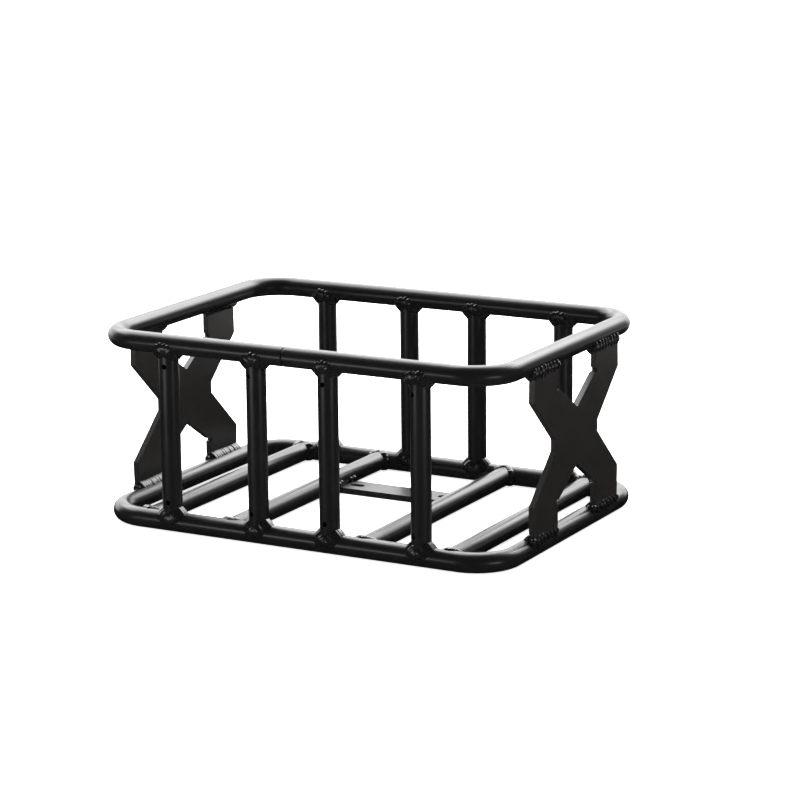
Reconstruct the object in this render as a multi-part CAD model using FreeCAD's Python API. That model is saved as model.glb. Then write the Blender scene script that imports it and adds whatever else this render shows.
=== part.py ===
import FreeCAD, Part
import math
import os

# Welded tube carrier basket: two bent-tube rings, eight uprights, four floor tubes,
# two X-shaped end plates and one slotted mount plate.
# Millimetres. +Z up, X along the long side, front is -Y.
# Origin: centre of the footprint, on the plane the basket stands on.

# ---- driving dimensions -------------------------------------------------------
LENGTH = 365.0            # overall, along X
DEPTH = 265.0             # overall, along Y
HEIGHT = 160.0            # overall, along Z
TUBE_R = 8.0              # every tube is 16 mm across
TUBE_WALL = 1.5
CORNER_R = 32.0           # bend radius of the ring corners, on the centreline

UPRIGHT_X = (-112.0, -32.0, 32.0, 112.0)
FLOOR_X = (-135.0, -60.0, 60.0, 135.0)

SEAM_X_TOP = -5.0         # butt joint of the top ring, on its front run
SEAM_X_BOTTOM = 24.0      # butt joint of the bottom ring
SEAM_GAP = 0.4
SEAM_DEPTH = 0.5

VENT_D = 4.0              # vent hole near each end of an upright, facing outward
VENT_FROM_RING = 17.0     # from the ring centreline
VENT_TURN = (4.0, -17.0, -3.0, -24.0)   # degrees from straight outward, one for each upright

END_PLATE_T = 5.0
LEG_OUTER_TOP_Y = 75.0    # half width across the legs, at the rings
LEG_OUTER_Y = 76.2        # half width where a leg starts to slope inward
LEG_INNER_Y = 34.5        # half gap between two legs
LEG_OUTER_Z = 40.6        # height of the outer bend, from the plate's middle
LEG_INNER_Z = 45.0        # height of the inner bend, from the plate's middle
WAIST_Y = 37.6            # half width at the waist
WAIST_Z = 4.7             # half height of the straight part of the waist
NOTCH_Z = 22.8            # tip of the V between two legs, from the plate's middle
NOTCH_TIP_R = 2.5
RELIEF_R = 2.0            # round relief cut in each inner bend
PLATE_OFFSET_Z = 2.7      # right plate sits this much high, left plate this much low
PLATE_Y = 1.9             # both plates were tacked on a little behind the middle
LEG_END_GAP = 7.2         # leg end to ring centreline, measured in Z

MOUNT_WIDTH = 25.0
MOUNT_T = 5.0             # flush with the underside of the floor tubes
MOUNT_Y = 48.5
MOUNT_END_X = 52.5
SLOT_X = 41.3
SLOT_LENGTH = 13.0
SLOT_WIDTH = 6.4

BEAD_SIDE_R = 4.4         # saddle bead, where the two tubes meet square
BEAD_CROWN_R = 2.3        # saddle bead, where the two tubes run tangent
BEAD_CROWN_IN = 0.9       # how far the thin part of the bead is sunk in
SADDLE_POOLS = 18         # weld pools round one saddle
FLAT_BEAD_R = 3.6         # beads along flat plate ends
POOL_PITCH = 4.6
BEAD_PROUD = 0.4          # how far beads stand out past the long sides
BASE_CLEAR = 0.4          # height of the lowest bead above the base plane

# ---- derived ------------------------------------------------------------------
RUN_X = LENGTH / 2 - TUBE_R        # ring centreline half length
RUN_Y = DEPTH / 2 - TUBE_R         # ring centreline half depth
Z_BOTTOM = TUBE_R
Z_TOP = HEIGHT - TUBE_R
Z_MID = HEIGHT / 2
V = FreeCAD.Vector
X_AXIS, Y_AXIS, Z_AXIS = V(1, 0, 0), V(0, 1, 0), V(0, 0, 1)


def cylinder(radius, length, base, axis):
    return Part.makeCylinder(radius, length, base, axis)


def annulus(outer, inner, centre, normal):
    disc = Part.Face(Part.Wire(Part.makeCircle(outer, centre, normal)))
    return disc.cut(Part.Face(Part.Wire(Part.makeCircle(inner, centre, normal))))


def bent_tube(z):
    """Closed rounded rectangle of tube: four straight runs and four quarter bends."""
    xs, ys = RUN_X - CORNER_R, RUN_Y - CORNER_R
    inner = TUBE_R - TUBE_WALL
    solids = []
    for side in (-1, 1):
        solids.append(annulus(TUBE_R, inner, V(-xs, side * RUN_Y, z), X_AXIS).extrude(V(2 * xs, 0, 0)))
        solids.append(annulus(TUBE_R, inner, V(side * RUN_X, -ys, z), Y_AXIS).extrude(V(0, 2 * ys, 0)))
    for sx, sy in ((1, 1), (-1, 1), (-1, -1), (1, -1)):
        section = annulus(TUBE_R, inner, V(sx * xs, sy * RUN_Y, z), X_AXIS)
        solids.append(section.revolve(V(sx * xs, sy * ys, z), Z_AXIS, -90 * sx * sy))
    return solids[0].multiFuse(solids[1:]).removeSplitter()


def ring(z, seam_x):
    """Bent tube with a fine groove where its two ends are butted together."""
    tube = bent_tube(z)
    base = V(seam_x - SEAM_GAP / 2, -RUN_Y, z)
    groove = cylinder(TUBE_R + 1, SEAM_GAP, base, X_AXIS)
    groove = groove.cut(cylinder(TUBE_R - SEAM_DEPTH, SEAM_GAP, base, X_AXIS))
    return tube.cut(groove)


def run_bar(y, z):
    """Solid bar filling the straight run of a ring, used as a cutter."""
    return cylinder(TUBE_R, 2 * RUN_X, V(-RUN_X, y, z), X_AXIS)


def upright(x, side, vent_turn):
    """Saddle-coped post between the rings; side is -1 at the front, +1 at the back."""
    y = side * RUN_Y
    turn = math.radians(vent_turn)
    outward = V(math.sin(turn), side * math.cos(turn), 0)
    post = cylinder(TUBE_R, Z_TOP - Z_BOTTOM, V(x, y, Z_BOTTOM), Z_AXIS)
    post = post.cut(cylinder(TUBE_R - TUBE_WALL, Z_TOP - Z_BOTTOM, V(x, y, Z_BOTTOM), Z_AXIS))
    post = post.cut(run_bar(y, Z_BOTTOM)).cut(run_bar(y, Z_TOP))
    for z in (Z_BOTTOM + VENT_FROM_RING, Z_TOP - VENT_FROM_RING):
        post = post.cut(cylinder(VENT_D / 2, TUBE_R + 1, V(x, y, z), outward))
    return largest(post)


def floor_tube(x):
    tube = cylinder(TUBE_R, 2 * RUN_Y, V(x, -RUN_Y, Z_BOTTOM), Y_AXIS)
    tube = tube.cut(cylinder(TUBE_R - TUBE_WALL, 2 * RUN_Y, V(x, -RUN_Y, Z_BOTTOM), Y_AXIS))
    for side in (-1, 1):
        tube = tube.cut(run_bar(side * RUN_Y, Z_BOTTOM))
    return largest(tube)


def largest(shape):
    return max(shape.Solids, key=lambda s: s.Volume)


def end_plate_outline():
    """X outline as (y, z) from the plate's middle: down the +Y side, then up the other."""
    upper = [(0, NOTCH_Z), (LEG_INNER_Y, LEG_INNER_Z), (LEG_INNER_Y, Z_MID),
             (LEG_OUTER_TOP_Y, Z_MID), (LEG_OUTER_Y, LEG_OUTER_Z), (WAIST_Y, WAIST_Z)]
    lower = [(y, -z) for y, z in reversed(upper)]
    right = upper + lower
    left = [(-y, z) for y, z in reversed(right[1:-1])]
    return right + left


def end_plate(side):
    """X-shaped plate, outer face flush with the outermost line of the rings."""
    x_outer = side * LENGTH / 2
    x_start = min(x_outer, x_outer - side * END_PLATE_T)
    z_mid = Z_MID + side * PLATE_OFFSET_Z
    points = [V(x_start, PLATE_Y + y, z_mid + z) for y, z in end_plate_outline()]
    face = Part.Face(Part.makePolygon(points + points[:1]))
    plate = face.extrude(V(END_PLATE_T, 0, 0))
    for sy in (-1, 1):
        for sz in (-1, 1):
            bend = V(x_start, PLATE_Y + sy * (LEG_INNER_Y + 0.4), z_mid + sz * LEG_INNER_Z)
            plate = plate.cut(cylinder(RELIEF_R, END_PLATE_T, bend, X_AXIS))
    tips = [e for e in plate.Edges if is_notch_tip(e, z_mid)]
    plate = plate.makeFillet(NOTCH_TIP_R, tips)
    return plate.common(between_rings())


def is_notch_tip(edge, z_mid):
    a, b = [v.Point for v in edge.Vertexes] if len(edge.Vertexes) == 2 else (V(9, 9, 9), V(9, 9, 9))
    level = abs(a.z - b.z) < 1e-6 and abs(abs(a.z - z_mid) - NOTCH_Z) < 1e-6
    return level and abs(a.y - PLATE_Y) < 1e-6 and abs(b.y - PLATE_Y) < 1e-6


def between_rings():
    low, high = Z_BOTTOM + LEG_END_GAP, Z_TOP - LEG_END_GAP
    return Part.makeBox(LENGTH + 20, DEPTH, high - low, V(-LENGTH / 2 - 10, -DEPTH / 2, low))


def mount_plate():
    """Flat bar let in between the two middle floor tubes, with two slots."""
    y0 = MOUNT_Y - MOUNT_WIDTH / 2
    bar = Part.makeBox(2 * MOUNT_END_X, MOUNT_WIDTH, MOUNT_T, V(-MOUNT_END_X, y0, 0))
    for x in (-SLOT_X, SLOT_X):
        bar = bar.cut(slot(x, MOUNT_Y))
    for x in FLOOR_X[1:3]:
        bar = bar.cut(cylinder(TUBE_R, DEPTH, V(x, -DEPTH / 2, Z_BOTTOM), Y_AXIS))
    return largest(bar)


def slot(x, y):
    reach, r = (SLOT_LENGTH - SLOT_WIDTH) / 2, SLOT_WIDTH / 2
    cut = Part.makeBox(2 * reach, SLOT_WIDTH, MOUNT_T + 2, V(x - reach, y - r, -1))
    for end in (-reach, reach):
        cut = cut.fuse(cylinder(r, MOUNT_T + 2, V(x + end, y, -1), Z_AXIS))
    return cut


def weld_pool(radius, centre, turn):
    """One ball of weld; turned so that no two pools share a seam line."""
    pool = Part.makeSphere(radius)
    pool.Placement = FreeCAD.Placement(centre, FreeCAD.Rotation(V(1, 2, 3), turn))
    return pool


def saddle_bead():
    """Bead round a coped tube end: a ring of weld pools on the saddle line where a post (axis +Z)
    stands on a bar (axis X), hollowed to sit on the two tubes."""
    pools = []
    for i in range(SADDLE_POOLS):
        t = 2 * math.pi * (i + 0.25) / SADDLE_POOLS
        side = abs(math.cos(t))
        radius = BEAD_CROWN_R + (BEAD_SIDE_R - BEAD_CROWN_R) * side
        y = (TUBE_R - BEAD_CROWN_IN * (1 - side)) * math.sin(t)
        pools.append(weld_pool(radius, V(TUBE_R * math.cos(t), y, TUBE_R * side), 37 + 11 * i))
    tubes = cylinder(TUBE_R, 60, V(-30, 0, 0), X_AXIS).fuse(cylinder(TUBE_R, 30, V(0, 0, 0), Z_AXIS))
    return pools[0].multiFuse(pools[1:]).cut(tubes)


def bead_limits():
    """Beads stand a little proud of the long sides and are dressed back from the base plane."""
    reach = DEPTH / 2 + BEAD_PROUD
    return Part.makeBox(LENGTH, 2 * reach, HEIGHT - BASE_CLEAR, V(-LENGTH / 2, -reach, BASE_CLEAR))


def saddle_row(xs, y, z, branch):
    """A row of equal saddle beads; branch is the way the coped tube leaves the ring."""
    turn = FreeCAD.Rotation(Z_AXIS, branch) if branch.z >= 0 else FreeCAD.Rotation(X_AXIS, 180)
    bead = saddle_bead()
    row = []
    for x in xs:
        copy = bead.copy()
        copy.Placement = FreeCAD.Placement(V(x, y, z), turn)
        row.append(largest(copy.common(bead_limits())))
    return Part.makeCompound(row)


def flat_bead(x, z, y0, y1):
    """Row of weld pools along Y on a plain core."""
    count = max(2, round((y1 - y0) / POOL_PITCH) + 1)
    step = (y1 - y0) / (count - 1)
    pools = [weld_pool(FLAT_BEAD_R, V(x, y0 + step * i, z), 37 + 11 * i) for i in range(count)]
    core = cylinder(FLAT_BEAD_R - 0.5, y1 - y0, V(x, y0, z), Y_AXIS)
    return core.multiFuse(pools)


def end_plate_beads(side, plate):
    """Inner fillet and outer groove fill at each of the four leg ends."""
    x_outer, x_inner = side * LENGTH / 2, side * (LENGTH / 2 - END_PLATE_T)
    beads = []
    for z, up in ((Z_BOTTOM, 1), (Z_TOP, -1)):
        bar = cylinder(TUBE_R, DEPTH, V(side * RUN_X, -DEPTH / 2, z), Y_AXIS)
        z_end = z + up * LEG_END_GAP
        for sy in (-1, 1):
            y0, y1 = sorted((PLATE_Y + sy * LEG_INNER_Y, PLATE_Y + sy * LEG_OUTER_TOP_Y))
            groove = Part.makeBox(END_PLATE_T, y1 - y0, LEG_END_GAP,
                                  V(min(x_outer, x_inner), y0, min(z_end, z)))
            bead = flat_bead(x_inner, z_end, y0 + 1, y1 - 1).fuse(groove)
            beads.append(largest(bead.cut(bar).cut(plate).common(bead_limits())))
    return Part.makeCompound(beads)


def mount_beads(plate):
    y0, y1 = MOUNT_Y - MOUNT_WIDTH / 2, MOUNT_Y + MOUNT_WIDTH / 2
    beads = []
    for side in (-1, 1):
        bar = cylinder(TUBE_R, DEPTH, V(side * FLOOR_X[2], -DEPTH / 2, Z_BOTTOM), Y_AXIS)
        top = flat_bead(side * MOUNT_END_X, MOUNT_T, y0 + 1, y1 - 1)
        beads.append(largest(top.cut(bar).cut(plate).common(bead_limits())))
    return Part.makeCompound(beads)


def build():
    """Every physical piece, by node name."""
    parts = {"top_ring": ring(Z_TOP, SEAM_X_TOP), "bottom_ring": ring(Z_BOTTOM, SEAM_X_BOTTOM)}
    for i, (x, vent_turn) in enumerate(zip(UPRIGHT_X, VENT_TURN), 1):
        parts["front_upright_%d" % i] = upright(x, -1, vent_turn)
        parts["back_upright_%d" % i] = upright(x, 1, vent_turn)
    for i, x in enumerate(FLOOR_X, 1):
        parts["floor_tube_%d" % i] = floor_tube(x)
    parts["end_plate_left"] = end_plate(-1)
    parts["end_plate_right"] = end_plate(1)
    parts["mount_plate"] = mount_plate()

    for side, name in ((-1, "front"), (1, "back")):
        y = side * RUN_Y
        parts["weld_%s_top" % name] = saddle_row(UPRIGHT_X, y, Z_TOP, V(0, 0, -1))
        parts["weld_%s_bottom" % name] = saddle_row(UPRIGHT_X, y, Z_BOTTOM, V(0, 0, 1))
        parts["weld_floor_%s" % name] = saddle_row(FLOOR_X, y, Z_BOTTOM, V(0, -side, 0))
    parts["weld_end_plate_left"] = end_plate_beads(-1, parts["end_plate_left"])
    parts["weld_end_plate_right"] = end_plate_beads(1, parts["end_plate_right"])
    parts["weld_mount_plate"] = mount_beads(parts["mount_plate"])
    return parts


def main():
    os.makedirs("parts", exist_ok=True)
    for name, shape in build().items():
        shape.exportStep("parts/%s.step" % name)
        box = shape.BoundBox
        print("%-22s solids %d valid %s  x %.1f..%.1f  y %.1f..%.1f  z %.1f..%.1f" % (
            name, len(shape.Solids), shape.isValid(), box.XMin, box.XMax,
            box.YMin, box.YMax, box.ZMin, box.ZMax))


main()
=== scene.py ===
# %% [markdown]
# A small carrier basket is welded from round tube and powder coated in satin black. Everything
# that bears load comes from the CAD model, which is loaded first and is never moved or reshaped.
# This file adds what the CAD leaves plain: smooth drawn tube, hand-laid weld beads, softened
# plate edges, the coating and its small faults, and then a floor, soft lamps and a camera.

# %% Load the CAD frame
import math

import bmesh
import bpy
from mathutils import Matrix, Vector


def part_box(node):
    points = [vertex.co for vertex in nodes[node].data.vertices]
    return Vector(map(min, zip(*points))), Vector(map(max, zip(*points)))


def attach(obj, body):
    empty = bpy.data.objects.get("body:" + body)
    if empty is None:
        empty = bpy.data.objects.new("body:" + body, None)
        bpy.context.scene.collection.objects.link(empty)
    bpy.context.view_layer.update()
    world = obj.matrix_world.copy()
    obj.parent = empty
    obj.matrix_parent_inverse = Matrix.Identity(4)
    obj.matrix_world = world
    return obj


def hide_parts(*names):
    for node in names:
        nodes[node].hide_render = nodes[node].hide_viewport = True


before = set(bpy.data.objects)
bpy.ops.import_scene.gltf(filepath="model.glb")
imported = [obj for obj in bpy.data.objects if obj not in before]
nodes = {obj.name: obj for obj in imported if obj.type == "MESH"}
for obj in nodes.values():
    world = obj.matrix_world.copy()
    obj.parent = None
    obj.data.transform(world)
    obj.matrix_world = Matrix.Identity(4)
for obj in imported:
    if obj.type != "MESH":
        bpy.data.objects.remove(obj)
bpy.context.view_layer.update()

# %% [markdown]
# Sizes are read back from the CAD nodes instead of being typed twice. A tube's radius is half
# the height of the ring it belongs to, and a ring's centreline lies one radius inside its box.
# Blender works in metres, so a millimetre has a name of its own.

# %% Sizes read from the frame
MM = 0.001
X_AXIS, Y_AXIS, Z_AXIS = Vector((1, 0, 0)), Vector((0, 1, 0)), Vector((0, 0, 1))


def middle(name):
    low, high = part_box(name)
    return (low + high) / 2


def size(name):
    low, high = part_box(name)
    return high - low


TUBE_R = size("top_ring").z / 2
RUN_X = size("top_ring").x / 2 - TUBE_R
RUN_Y = size("top_ring").y / 2 - TUBE_R
Z_LOW, Z_HIGH = middle("bottom_ring").z, middle("top_ring").z
UPRIGHT_X = [middle("front_upright_%d" % i).x for i in (1, 2, 3, 4)]
FLOOR_X = [middle("floor_tube_%d" % i).x for i in (1, 2, 3, 4)]
print("tube radius %.1f mm, uprights at" % (TUBE_R / MM), [round(x / MM) for x in UPRIGHT_X])

# %% [markdown]
# Shaders and Geometry Nodes are both graphs, but their maths reads better as a line of Python.
# `Wire` wraps one socket: adding or multiplying wires adds Math nodes, and `node` makes any
# other node from its type, its settings and its inputs. One class serves both kinds of tree.

# %% Wires: node maths as expressions
class Wire:
    def __init__(self, tree, socket=None):
        self.tree, self.socket = tree, socket

    def node(self, kind, inputs=None, out=0, stops=None, **settings):
        made = self.tree.nodes.new(kind)
        for name, value in settings.items():
            setattr(made, name, value)
        if stops:
            ramp = made.color_ramp
            while len(ramp.elements) < len(stops):
                ramp.elements.new(0.5)
            for element, (place, grey) in zip(ramp.elements, stops):
                element.position, element.color = place, (grey, grey, grey, 1)
        for name, value in (inputs or {}).items():
            if isinstance(value, Wire):
                self.tree.links.new(value.socket, made.inputs[name])
            else:
                made.inputs[name].default_value = value
        return Wire(self.tree, made.outputs[out] if len(made.outputs) else None)

    def maths(self, operation, a, b=0.0):
        return self.node("ShaderNodeMath", {0: a, 1: b}, operation=operation)

    def __add__(self, other):
        return self.maths("ADD", self, other)

    def __mul__(self, other):
        return self.maths("MULTIPLY", self, other)

    def __sub__(self, other):
        return self.maths("SUBTRACT", self, other)

    def __rsub__(self, other):
        return self.maths("SUBTRACT", other, self)

    __radd__, __rmul__ = __add__, __mul__

    def joined(self, x, y, z):
        return self.node("ShaderNodeCombineXYZ", {"X": x, "Y": y, "Z": z})


print("wires ready")

# %% [markdown]
# The tubes and plates wear a satin black powder coat. Powder melts into a skin with a fine
# orange-peel ripple, a little more matt in some places than others, with a few grains of dust
# caught in it. Colour hardly varies, so most of the finish is in the gloss and in the bump.
# The same coat lies a little thicker and glossier on the weld beads, which hold more heat.

# %% The coating
def noise(wires, per_metre, detail=2.0, rough=0.5):
    """A grey cloud between 0 and 1, so many lumps to the metre, fixed to the object."""
    place = wires.node("ShaderNodeTexCoord", out="Object")
    return wires.node("ShaderNodeTexNoise", {"Vector": place, "Scale": per_metre,
                                             "Detail": detail, "Roughness": rough}, out="Fac")


def tinted(wires, shade, tint):
    """A colour made lighter or darker by a grey wire. Mix keeps one pair of inputs for each kind
    of data, and its colour pair is numbers 6 and 7."""
    return wires.node("ShaderNodeMix", {0: 1.0, 6: shade, 7: tint}, out=2,
                      data_type="RGBA", blend_type="MULTIPLY")


def coating(name, tone, gloss, peel, painted_warm_light=0.0, glaze=0.2):
    """Black powder coat: tone is its grey, gloss its roughness, peel the ripple's height in mm and
    glaze the weight of its clear top layer. The fifth argument tints the grey towards red: painted
    warm light, not a colour of the paint."""
    material = bpy.data.materials.new(name)
    material.use_nodes = True
    tree = material.node_tree
    tree.nodes.clear()
    wires = Wire(tree)
    clouds = noise(wires, 38, detail=3)
    ripple = noise(wires, 900, detail=1)
    grain = noise(wires, 4200, detail=2)
    dust = wires.node("ShaderNodeValToRGB", {"Fac": noise(wires, 1500, detail=0)},
                      stops=((0.74, 0), (0.79, 1)))
    shade = clouds * 0.5 + 0.75 + dust * 0.8
    # A positive fifth argument shifts this grey towards red: painted warm light.
    dark = (tone * (1 + painted_warm_light), tone, tone * (1 - painted_warm_light / 2), 1)
    colour = tinted(wires, shade, dark)
    roughness = clouds * 0.10 + grain * 0.08 + (gloss - 0.09) + dust * 0.15
    height = ripple + grain * 0.25 + dust * 0.6
    bump = wires.node("ShaderNodeBump", {"Height": height, "Distance": peel * MM, "Strength": 1.0})
    skin = wires.node("ShaderNodeBsdfPrincipled", {
        "Base Color": colour, "Roughness": roughness, "Normal": bump,
        "IOR": 1.5, "Coat Weight": glaze, "Coat Roughness": 0.22})
    wires.node("ShaderNodeOutputMaterial", {"Surface": skin})
    return material


tube_coat = coating("tube_coat", tone=0.0045, gloss=0.31, peel=0.008)
# The plates take the same black paint, made lighter and warmer: painted light, standing in for the
# light that their flat faces catch.
plate_coat = coating("plate_coat", tone=0.008, gloss=0.36, peel=0.008, painted_warm_light=0.15)
weld_coat = coating("weld_coat", tone=0.0045, gloss=0.21, peel=0.014, glaze=0.45)
print("coatings:", tube_coat.name, plate_coat.name, weld_coat.name)

# %% [markdown]
# Geometry Nodes build whatever repeats or follows a path. `Recipe` holds one such tree and its
# named inputs. `make` gives the tree its values, lets Blender work it out once and keeps the
# result as a plain mesh, so nothing live is left on a finished piece.

# %% Recipes: Geometry Nodes trees with named inputs
class Recipe:
    def __init__(self, name, **inputs):
        self.tree = bpy.data.node_groups.new(name, "GeometryNodeTree")
        self.keys = {}
        for label, kind in inputs.items():
            socket = self.tree.interface.new_socket(label, in_out="INPUT",
                                                    socket_type="NodeSocket" + kind)
            self.keys[label] = socket.identifier
        self.tree.interface.new_socket("Geometry", in_out="OUTPUT",
                                       socket_type="NodeSocketGeometry")
        entry = self.tree.nodes.new("NodeGroupInput")
        self.given = {label: Wire(self.tree, entry.outputs[label]) for label in inputs}
        self.wires = Wire(self.tree)

    def end(self, geometry):
        solid = self.wires.node("GeometryNodeRealizeInstances", {"Geometry": geometry})
        coat = self.wires.node("GeometryNodeSetMaterial", {"Geometry": solid,
                                                           "Material": self.given["Coat"]})
        self.wires.node("NodeGroupOutput", {"Geometry": coat})

    def make(self, name, start=None, melt=None, **values):
        thing = bpy.data.objects.new(name, start or bpy.data.meshes.new(name))
        bpy.context.scene.collection.objects.link(thing)
        modifier = thing.modifiers.new(self.tree.name, "NODES")
        modifier.node_group = self.tree
        for label, value in values.items():
            modifier[self.keys[label]] = value
        if melt:
            skin = thing.modifiers.new("melt", "REMESH")
            skin.mode, skin.voxel_size, skin.use_smooth_shade = "VOXEL", melt, True
            ease = thing.modifiers.new("ease", "SMOOTH")
            ease.factor, ease.iterations = 0.5, 8
        graph = bpy.context.evaluated_depsgraph_get()
        mesh = bpy.data.meshes.new_from_object(thing.evaluated_get(graph))
        thing.modifiers.clear()
        thing.data = mesh
        mesh.name = name
        if melt:
            mesh.materials.clear()
            mesh.materials.append(values["Coat"])
        return thing


print("recipes ready")

# %% Handing a piece over
def finish(piece, slot, *replaced):
    """Every piece of this basket rides on its one body and takes the place of CAD nodes."""
    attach(piece, "root")
    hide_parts(*replaced)


print("pieces are handed over by finish")

# %% [markdown]
# Each ring is one length of tube, bent four times, with its ends butted together on the front
# run. The tree sweeps a circle along a path of points. The path carries a number called swell,
# which narrows the tube for a hair's breadth at the joint and so cuts its fine groove.

# %% Rings
CORNER_R = 32 * MM
SEAM_X = {"top_ring": -5 * MM, "bottom_ring": 24 * MM}
SEAM_DEPTH = 0.9 * MM
SEAM_STEPS = (-1.0, -0.34, -0.28, 0.28, 0.34, 1.0)
BEND_STEPS = 20

sweep = Recipe("swept_tube", Path="Geometry", Radius="Float", Sides="Int", Coat="Material")
line = sweep.wires.node("GeometryNodeMeshToCurve", {"Mesh": sweep.given["Path"]})
swell = sweep.wires.node("GeometryNodeInputNamedAttribute", {"Name": "swell"},
                         data_type="FLOAT")
circle = sweep.wires.node("GeometryNodeCurvePrimitiveCircle",
                          {"Resolution": sweep.given["Sides"], "Radius": sweep.given["Radius"]},
                          mode="RADIUS")
skin = sweep.wires.node("GeometryNodeCurveToMesh", {"Curve": line, "Profile Curve": circle,
                                                    "Scale": swell})
sweep.end(sweep.wires.node("GeometryNodeSetShadeSmooth", {"Geometry": skin}))


def ring_path(z, seam_x):
    """Closed path of a ring's centreline, starting at the seam, with the swell of each point."""
    points = []
    for step in SEAM_STEPS:
        narrow = abs(step) < 0.3
        swell_here = 1 - SEAM_DEPTH / TUBE_R if narrow else 1.0
        points.append(((seam_x + step * MM, -RUN_Y, z), swell_here))
    for sx, sy, start in ((1, -1, -90), (1, 1, 0), (-1, 1, 90), (-1, -1, 180)):
        cx, cy = sx * (RUN_X - CORNER_R), sy * (RUN_Y - CORNER_R)
        for k in range(BEND_STEPS + 1):
            a = math.radians(start + 90 * k / BEND_STEPS)
            points.append(((cx + CORNER_R * math.cos(a), cy + CORNER_R * math.sin(a), z), 1.0))
    return points


def path_mesh(points):
    mesh = bpy.data.meshes.new("path")
    count = len(points)
    mesh.from_pydata([p for p, _ in points], [(i, (i + 1) % count) for i in range(count)], [])
    swells = mesh.attributes.new("swell", "FLOAT", "POINT")
    swells.data.foreach_set("value", [s for _, s in points])
    return mesh


for name, z in (("top_ring", Z_HIGH), ("bottom_ring", Z_LOW)):
    tube = sweep.make("drawn_" + name, start=path_mesh(ring_path(z, SEAM_X[name])),
                      Radius=TUBE_R, Sides=64, Coat=tube_coat)
    finish(tube, "tube_coat", name)
    print(tube.name, "faces", len(tube.data.polygons))

# %% [markdown]
# The uprights and floor tubes are straight, and each end is cut to a saddle that fits round a
# ring. A grid is rolled up into such a tube: one way it runs round the circle, and the other way
# it runs up the outer wall, over the end, down the bore and back. The uprights are then drilled
# with two vent holes, which let air out of the closed tube while it is welded and coated.

# %% Coped tubes
WALL = 1.5 * MM
SINK = 0.3 * MM
VENT_D = 4 * MM
VENT_FROM_RING = 17 * MM
VENT_TURN = (4, -17, -3, -24)
DRILL_OUT = 1.2
ROUND_STEPS = 96

coped = Recipe("coped_tube", Length="Float", Radius="Float", Wall="Float", Sink="Float",
               Vent="Float", VentReach="Float", VentTurn="Float", Vented="Bool",
               Centre="Vector", Turn="Vector", Coat="Material")
w, given = coped.wires, coped.given
grid = w.node("GeometryNodeMeshGrid", {"Size X": 1.0, "Size Y": 1.0,
                                       "Vertices X": ROUND_STEPS + 1, "Vertices Y": 5})
place = w.node("GeometryNodeInputPosition")
across = w.node("ShaderNodeSeparateXYZ", {0: place}, out="X")
along = w.node("ShaderNodeSeparateXYZ", {0: place}, out="Y")
angle = (across + 0.5) * (2 * math.pi)
step = w.maths("ROUND", (along + 0.5) * 4)
NEARLY = 0.6
in_bore = w.node("ShaderNodeMath", {0: step, 1: 2.5, 2: NEARLY}, operation="COMPARE")
at_top = w.node("ShaderNodeMath", {0: step, 1: 1.5, 2: NEARLY}, operation="COMPARE")
radius = given["Radius"] - given["Wall"] * in_bore
x = radius * w.maths("COSINE", angle)
y = radius * w.maths("SINE", angle)
saddle = w.maths("SQRT", w.maths("MAXIMUM", given["Radius"] * given["Radius"] - y * y, 0.0))
reach = given["Length"] * 0.5 - saddle + given["Sink"]
tube = w.node("GeometryNodeSetPosition", {"Geometry": grid,
                                          "Position": w.joined(x, y, reach * (at_top * 2 - 1))})
tube = w.node("GeometryNodeMergeByDistance", {"Geometry": tube, "Distance": 0.01 * MM})
drill = w.node("GeometryNodeMeshCylinder", {"Vertices": 32, "Radius": given["Vent"] * 0.5,
                                            "Depth": given["Radius"] * 2})
drills = []
for end in (-1, 1):
    out_x = w.maths("SINE", given["VentTurn"]) * given["Radius"] * DRILL_OUT
    out_y = w.maths("COSINE", given["VentTurn"]) * given["Radius"] * -DRILL_OUT
    spin = w.joined(math.pi / 2, 0.0, given["VentTurn"])
    spot = w.joined(out_x, out_y, given["VentReach"] * end)
    drills.append(w.node("GeometryNodeTransform", {"Geometry": drill, "Translation": spot,
                                                   "Rotation": spin}))
drilled = w.node("GeometryNodeMeshBoolean", {"Mesh 1": tube, "Mesh 2": drills[0]},
                 operation="DIFFERENCE", solver="EXACT")
drilled = w.node("GeometryNodeMeshBoolean", {"Mesh 1": drilled, "Mesh 2": drills[1]},
                 operation="DIFFERENCE", solver="EXACT")
tube = w.node("GeometryNodeSwitch", {"Switch": given["Vented"], "False": tube, "True": drilled},
              input_type="GEOMETRY")
tube = w.node("GeometryNodeTransform", {"Geometry": tube, "Translation": given["Centre"],
                                        "Rotation": given["Turn"]})
coped.end(tube)


def soften(piece, degrees):
    """Smooth shading that still breaks at edges sharper than the given angle."""
    piece.data.polygons.foreach_set("use_smooth", [True] * len(piece.data.polygons))
    piece.data.set_sharp_from_angle(angle=math.radians(degrees))


def coped_tube(node, length, centre, turn, vent_turn=0.0, vented=False):
    piece = coped.make("drawn_" + node, Length=length, Radius=TUBE_R, Wall=WALL, Sink=SINK,
                       Vent=VENT_D, VentReach=length / 2 - VENT_FROM_RING,
                       VentTurn=math.radians(vent_turn), Vented=vented,
                       Centre=centre, Turn=turn, Coat=tube_coat)
    soften(piece, 30)
    finish(piece, "tube_coat", node)
    return piece


for side, row in ((-1, "front"), (1, "back")):
    for i, x in enumerate(UPRIGHT_X):
        turn = 0.0 if side < 0 else math.pi
        vent = VENT_TURN[i] if side < 0 else -VENT_TURN[i]
        centre = (x, side * RUN_Y, (Z_LOW + Z_HIGH) / 2)
        coped_tube("%s_upright_%d" % (row, i + 1), Z_HIGH - Z_LOW, centre,
                   (0.0, 0.0, turn), vent, True)
for i, x in enumerate(FLOOR_X):
    tube = coped_tube("floor_tube_%d" % (i + 1), 2 * RUN_Y, (x, 0.0, Z_LOW),
                      (math.pi / 2, 0.0, 0.0))
print("coped tubes: 12, last has", len(tube.data.polygons), "faces")

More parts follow.
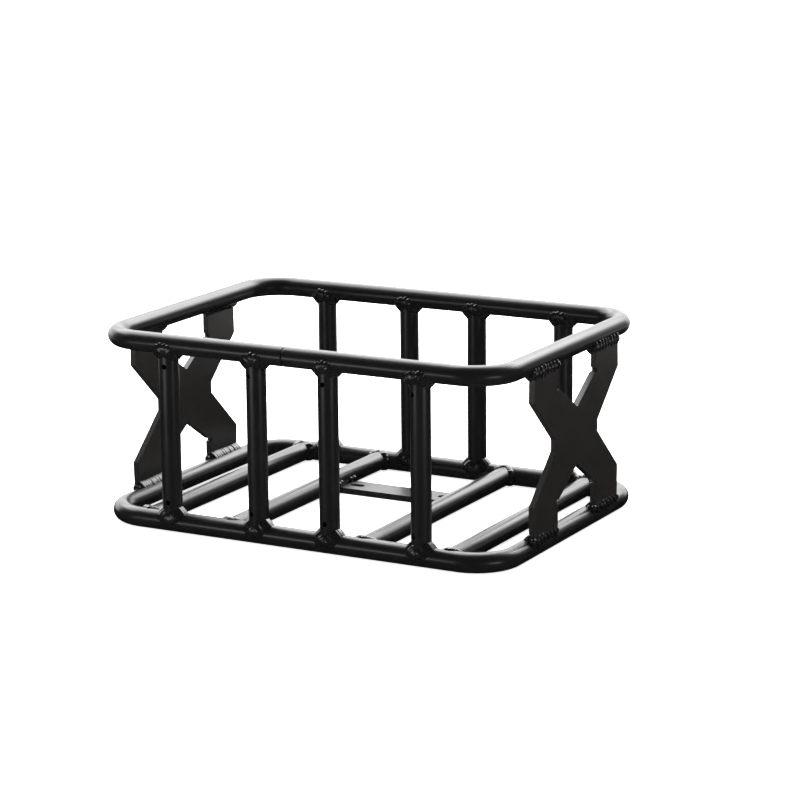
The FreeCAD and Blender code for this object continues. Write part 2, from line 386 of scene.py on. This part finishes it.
# %% [markdown]
# The plates are cut from flat steel. No edge is left knife sharp, and a coat of powder rounds it
# further. Each plate is a copy of its CAD node with loose triangles merged into whole faces,
# and a narrow bevel along every edge catches the light as a thin line.

# %% Plates with softened edges
def softened_plate(node, width):
    work = bmesh.new()
    work.from_mesh(nodes[node].data)
    bmesh.ops.remove_doubles(work, verts=work.verts, dist=0.01 * MM)
    bmesh.ops.dissolve_limit(work, angle_limit=math.radians(1), verts=work.verts, edges=work.edges)
    mesh = bpy.data.meshes.new("softened_" + node)
    work.to_mesh(mesh)
    work.free()
    piece = bpy.data.objects.new(mesh.name, mesh)
    bpy.context.scene.collection.objects.link(piece)
    bevel = piece.modifiers.new("edge", "BEVEL")
    bevel.width, bevel.segments, bevel.limit_method = width, 2, "ANGLE"
    bevel.angle_limit = math.radians(30)
    graph = bpy.context.evaluated_depsgraph_get()
    rounded = bpy.data.meshes.new_from_object(piece.evaluated_get(graph))
    piece.modifiers.clear()
    piece.data = rounded
    rounded.materials.clear()
    rounded.materials.append(plate_coat)
    soften(piece, 12)
    finish(piece, "plate_coat", node)
    return piece


for node in ("end_plate_left", "end_plate_right", "mount_plate"):
    plate = softened_plate(node, 0.35 * MM)
    print(plate.name, "faces", len(plate.data.polygons))

# %% [markdown]
# A hand-laid weld is a row of small frozen pools, each one lapping over the last. A pool is a
# flattened ball. The tree sets a leaning ball on every station of a path, a little uneven in size
# and place. A voxel remesh then melts the balls into one skin and a little smoothing eases the
# valleys between them. Nothing may hang below the base, so the lowest points are dressed flat.

# %% The bead recipe
VOXEL = 0.38 * MM
POOL_WOBBLE = 0.25 * MM
POOL_LEAN = 14
BASE_CLEAR = 0.4 * MM

bead = Recipe("weld_bead", Stations="Geometry", Wobble="Float", Lean="Float", Seed="Int",
              Coat="Material")
w, given = bead.wires, bead.given


def stored(name):
    return w.node("GeometryNodeInputNamedAttribute", {"Name": name}, data_type="FLOAT_VECTOR")


ball = w.node("GeometryNodeMeshIcoSphere", {"Radius": 1.0, "Subdivisions": 3})
faced = w.node("FunctionNodeAlignRotationToVector", {"Vector": stored("out")}, axis="Z")
faced = w.node("FunctionNodeAlignRotationToVector", {"Rotation": faced, "Vector": stored("run")},
               axis="X", pivot_axis="Z")
lean = w.node("FunctionNodeEulerToRotation", {0: w.joined(0.0, given["Lean"], 0.0)})
faced = w.node("FunctionNodeRotateRotation", {"Rotation": faced, "Rotate By": lean},
               rotation_space="LOCAL")
uneven = w.node("FunctionNodeRandomValue", {2: 0.90, 3: 1.10, "Seed": given["Seed"]}, out=1,
                data_type="FLOAT")
reach = w.node("ShaderNodeVectorMath", {0: stored("reach"), "Scale": uneven}, operation="SCALE")
balls = w.node("GeometryNodeInstanceOnPoints", {"Points": given["Stations"], "Instance": ball,
                                                "Rotation": faced, "Scale": reach})
drift = w.node("FunctionNodeRandomValue", {0: (-1.0, -1.0, -1.0), 1: (1.0, 1.0, 1.0),
                                           "Seed": given["Seed"] + 7}, data_type="FLOAT_VECTOR")
drift = w.node("ShaderNodeVectorMath", {0: drift, "Scale": given["Wobble"]}, operation="SCALE")
bead.end(w.node("GeometryNodeTranslateInstances", {"Instances": balls, "Translation": drift,
                                                   "Local Space": False}))


def lay_bead(name, stations, seed):
    """Each station is a place, the way the bead runs, the way it faces and the pool's reach
    along, across and outward."""
    mesh = bpy.data.meshes.new("stations")
    mesh.from_pydata([station[0] for station in stations], [], [])
    for k, label in enumerate(("run", "out", "reach"), 1):
        layer = mesh.attributes.new(label, "FLOAT_VECTOR", "POINT")
        layer.data.foreach_set("vector", [c for station in stations for c in station[k]])
    piece = bead.make("bead_" + name, start=mesh, melt=VOXEL, Wobble=POOL_WOBBLE,
                      Lean=math.radians(POOL_LEAN), Seed=seed, Coat=weld_coat)
    for vertex in piece.data.vertices:
        vertex.co.z = max(vertex.co.z, BASE_CLEAR)
    finish(piece, "weld_coat", "weld_" + name)
    print(piece.name, "pools", len(stations), "faces", len(piece.data.polygons))
    return piece


print("bead recipe ready")

# %% [markdown]
# Where one tube stands on another of the same size, the two surfaces meet in a saddle. At its
# sides the tubes are square to each other and the bead fills a deep corner. At the crowns they
# run flush, and the bead only crosses over. A welder rounds the sharp turn there, so the line
# is eased at the crowns. A pool is given by its reach at the crowns, what the reach gains at the
# sides and how far it rises there, in mm. The uprights carry wide flares, the floor tubes small
# lumps.

# %% Beads round the coped ends
CROWN_EASE = 0.28
SADDLE_POOLS = 26
FIRST_TURN, TURN_STEP = 0.25, 0.17
UPRIGHT_POOL = ((2.7, 4.6, 2.8), (0.0, 3.2, -1.0), 2.3)
FLOOR_POOL = ((2.7, 3.5, 2.6), (0.0, 0.6, 0.0), 0.9)
POOL_SINK = 0.9 * MM


def saddle_station(t, pool):
    """One pool on the saddle, for a tube along +Z that stands on a tube along X."""
    crown_reach, side_gain, side_rise = pool
    side = abs(math.cos(t))
    rise = math.hypot(side, CROWN_EASE)
    place = TUBE_R * Vector((math.cos(t), math.sin(t), rise))
    run = Vector((-math.sin(t), math.cos(t), -math.cos(t) * math.sin(t) / rise)).normalized()
    out = Vector((math.cos(t), 2 * math.sin(t), side)).normalized()
    place += out * (side_rise * side * MM - POOL_SINK)
    return place, run, out, (Vector(crown_reach) + Vector(side_gain) * side) * MM


def saddle_stations(centre, branch, first_turn, pool):
    """Pools round one joint; branch is the way the coped tube leaves the ring."""
    turn = Matrix.Rotation(math.pi, 3, "X")
    if branch.z > -0.5:
        turn = Z_AXIS.rotation_difference(branch).to_matrix()
    stations = []
    for i in range(SADDLE_POOLS):
        place, run, out, reach = saddle_station(
            2 * math.pi * (i + first_turn) / SADDLE_POOLS, pool)
        stations.append((centre + turn @ place, turn @ run, turn @ out, reach))
    return stations


def saddle_row(name, xs, y, z, branch, pool, seed):
    stations = []
    for k, x in enumerate(xs):
        stations += saddle_stations(Vector((x, y, z)), branch, FIRST_TURN + TURN_STEP * k, pool)
    lay_bead(name, stations, seed)


for side, row in ((-1, "front"), (1, "back")):
    y = side * RUN_Y
    saddle_row(row + "_top", UPRIGHT_X, y, Z_HIGH, -Z_AXIS, UPRIGHT_POOL, 11 + side)
    saddle_row(row + "_bottom", UPRIGHT_X, y, Z_LOW, Z_AXIS, UPRIGHT_POOL, 21 + side)
    saddle_row("floor_" + row, FLOOR_X, y, Z_LOW, -side * Y_AXIS, FLOOR_POOL, 31 + side)

# %% [markdown]
# The legs of an end plate stop short of the rings. On the outside a run of upright pools fills
# the groove between leg and tube, on the inside a second run fills the corner, and both are
# carried round the leg's two sides.

# %% Beads on the end plates
OUTER_PITCH, INNER_PITCH = 5.8 * MM, 3.6 * MM
OUTER_POOL = Vector((2.7, 5.2, 2.0)) * MM
INNER_POOL = Vector((2.9, 5.6, 2.2)) * MM
SIDE_POOL = Vector((2.6, 3.4, 3.0)) * MM


def leg_ends(node, z):
    """The sides of the two legs that end at height z, as (y0, y1) pairs from front to back."""
    ys = sorted({round(v.co.y, 5) for v in nodes[node].data.vertices if abs(v.co.z - z) < 0.1 * MM})
    inner = min((y for y in ys if y > middle(node).y), default=0)
    before = max(y for y in ys if y < middle(node).y)
    return (ys[0], before), (inner, ys[-1])


def spread(start, end, pitch):
    count = max(2, round((end - start) / pitch) + 1)
    return [start + (end - start) * i / (count - 1) for i in range(count)]


def leg_stations(x_out, x_in, z_ring, z_leg, y0, y1):
    side, up = math.copysign(1, x_out), math.copysign(1, z_leg - z_ring)
    stations = []
    groove_z = z_ring + 0.62 * (z_leg - z_ring) + up * 1.8 * MM
    for y in spread(y0 + 1.6 * MM, y1 - 1.6 * MM, OUTER_PITCH):
        stations.append((Vector((x_out - side * 1.0 * MM, y, groove_z)), Y_AXIS, X_AXIS * side,
                         OUTER_POOL))
    corner = Vector((-side, 0, up)).normalized()
    for y in spread(y0 + 1.2 * MM, y1 - 1.2 * MM, INNER_PITCH):
        place = Vector((x_in, y, z_leg + up * 0.3 * MM)) + corner * 2.0 * MM
        stations.append((place, -Y_AXIS, corner, INNER_POOL))
    for y, way in ((y0, -1), (y1, 1)):
        for x in (x_in + side * 0.6 * MM, x_out - side * 1.4 * MM):
            stations.append((Vector((x, y, z_leg - up * 0.6 * MM)), X_AXIS, Y_AXIS * way,
                             SIDE_POOL))
    return stations


for side, name in ((-1, "left"), (1, "right")):
    node = "end_plate_" + name
    low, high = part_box(node)
    x_out, x_in = (low.x, high.x) if side < 0 else (high.x, low.x)
    stations = []
    for z_ring, z_leg in ((Z_LOW, low.z), (Z_HIGH, high.z)):
        for y0, y1 in leg_ends(node, z_leg):
            stations += leg_stations(x_out, x_in, z_ring, z_leg, y0, y1)
    lay_bead(node, stations, 41 + side)

# %% [markdown]
# The mounting bar is only tacked: a short blob at each of its four corners.

# %% Tacks on the mounting bar
low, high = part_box("mount_plate")
stations = []
for x, side in ((low.x, -1), (high.x, 1)):
    for y, way in ((low.y, 1), (high.y, -1)):
        for k, step in enumerate((-0.6, 4.4)):
            place = Vector((x + side * (0.2 + 0.8 * k) * MM, y + way * step * MM,
                            high.z + 0.8 * MM))
            out = Vector((-side * 0.5, 0, 1)).normalized()
            stations.append((place, Y_AXIS * way, out, Vector((3.6, 3.4 - 0.3 * k, 4.4)) * MM))
lay_bead("mount_plate", stations, 51)

# %% [markdown]
# The floor is a wide pale sheet, a hair below the basket so that no two faces share one plane.
# It glows faintly, which keeps the shadows on it soft. The camera stands well back with a long
# lens, so the basket keeps nearly parallel edges, and it looks down by about thirteen degrees.

# %% Floor
def flat_sheet(name, half, z):
    mesh = bpy.data.meshes.new(name)
    mesh.from_pydata([(-half, -half, z), (half, -half, z), (half, half, z), (-half, half, z)],
                     [], [(0, 1, 2, 3)])
    thing = bpy.data.objects.new(name, mesh)
    bpy.context.scene.collection.objects.link(thing)
    return thing


paper = bpy.data.materials.new("studio_paper")
paper.use_nodes = True
paper_skin = paper.node_tree.nodes["Principled BSDF"]
paper_skin.inputs["Base Color"].default_value = (0.9, 0.9, 0.91, 1)
paper_skin.inputs["Roughness"].default_value = 0.9
paper_skin.inputs["Emission Color"].default_value = (1, 1, 1, 1)
paper_skin.inputs["Emission Strength"].default_value = 0.8
floor = flat_sheet("floor", 30.0, -0.2 * MM)
floor.data.materials.append(paper)
floor.visible_glossy = False
print("floor just under the basket, at z = -0.2 mm")

# %% Camera
camera = bpy.data.objects.new("camera", bpy.data.cameras.new("camera"))
bpy.context.scene.collection.objects.link(camera)
bpy.context.scene.camera = camera
camera.data.sensor_width = 36.0
camera.data.lens = 129.5
camera.data.clip_end = 100.0
eye = Vector((1.10696, -1.97342, 0.61775))
right = Vector((0.87816, 0.47837, -0.00935))
up = Vector((-0.10024, 0.20306, 0.97403))
turn = Matrix((right, up, right.cross(up))).transposed()
camera.matrix_world = Matrix.Translation(eye) @ turn.to_4x4()
print("camera %.2f m away" % eye.length)

# %% [markdown]
# Black satin paint shows little of its own colour, so what is seen is mostly what it mirrors.
# A wide lamp high at the back and a tall one behind lay a pale band along the top of every tube.
# A wing to the right carries that band round the tubes that run front to back, and lights the
# welds, and a low lamp behind draws a faint rim down the tubes' edges. Two small low cards in
# front put faint lines on the faces that would otherwise be plain black. The room lights the
# paper but isn't mirrored in the paint.

# %% Lamps
BACK = Vector((-eye.x, -eye.y, 0)).normalized()
ASIDE = Vector((BACK.y, -BACK.x, 0))


def lamp(name, back, aside, height, target, wide, tall, glow, tint=(1, 1, 1)):
    """A rectangular lamp, placed so far behind the basket, to the right of it and up, as seen from
    the camera's side; glow is how bright its face is, whatever its size."""
    light = bpy.data.lights.new(name, "AREA")
    light.shape, light.size, light.size_y, light.color = "RECTANGLE", wide, tall, tint
    light.energy = glow * math.pi * wide * tall
    thing = bpy.data.objects.new(name, light)
    place = BACK * back + ASIDE * aside + Z_AXIS * height
    aim = BACK * target[0] + ASIDE * target[1] + Z_AXIS * target[2] - place
    z = -aim.normalized()
    x = ASIDE if abs(z.dot(ASIDE)) < 0.5 else Z_AXIS.cross(z).normalized()
    y = z.cross(x).normalized()
    x = y.cross(z)
    thing.matrix_world = Matrix.Translation(place) @ Matrix((x, y, z)).transposed().to_4x4()
    thing.visible_camera = False
    bpy.context.scene.collection.objects.link(thing)
    return thing


lamp("overhead", 1.35, 0.0, 1.5, (1.35, 0.0, 0.0), 3.4, 2.0, 5.0)
lamp("backdrop", 2.45, -0.4, 1.15, (0.0, -0.4, 1.0), 6.6, 2.2, 2.4)
lamp("wing", 1.63, 2.4, 2.0, (0, 0, 0.08), 1.9, 1.5, 3.6)
lamp("low_back", 1.20, -0.3, 0.02, (1.20, -0.3, 2.0), 3.0, 1.6, 0.8, (1.0, 0.94, 0.9))
lamp("left_card", -0.51, -0.69, 0.045, (0, 0, 0.08), 0.40, 0.08, 4.6)
lamp("right_card", -0.70, 0.50, 0.045, (0, 0, 0.08), 0.30, 0.08, 4.0)
world = bpy.data.worlds.new("room")
world.use_nodes = True
world.node_tree.nodes["Background"].inputs["Color"].default_value = (1, 1, 1, 1)
world.node_tree.nodes["Background"].inputs["Strength"].default_value = 1.15
world.cycles_visibility.glossy = False
bpy.context.scene.world = world
bpy.context.scene.view_settings.view_transform = "Standard"
print("lamps lit")
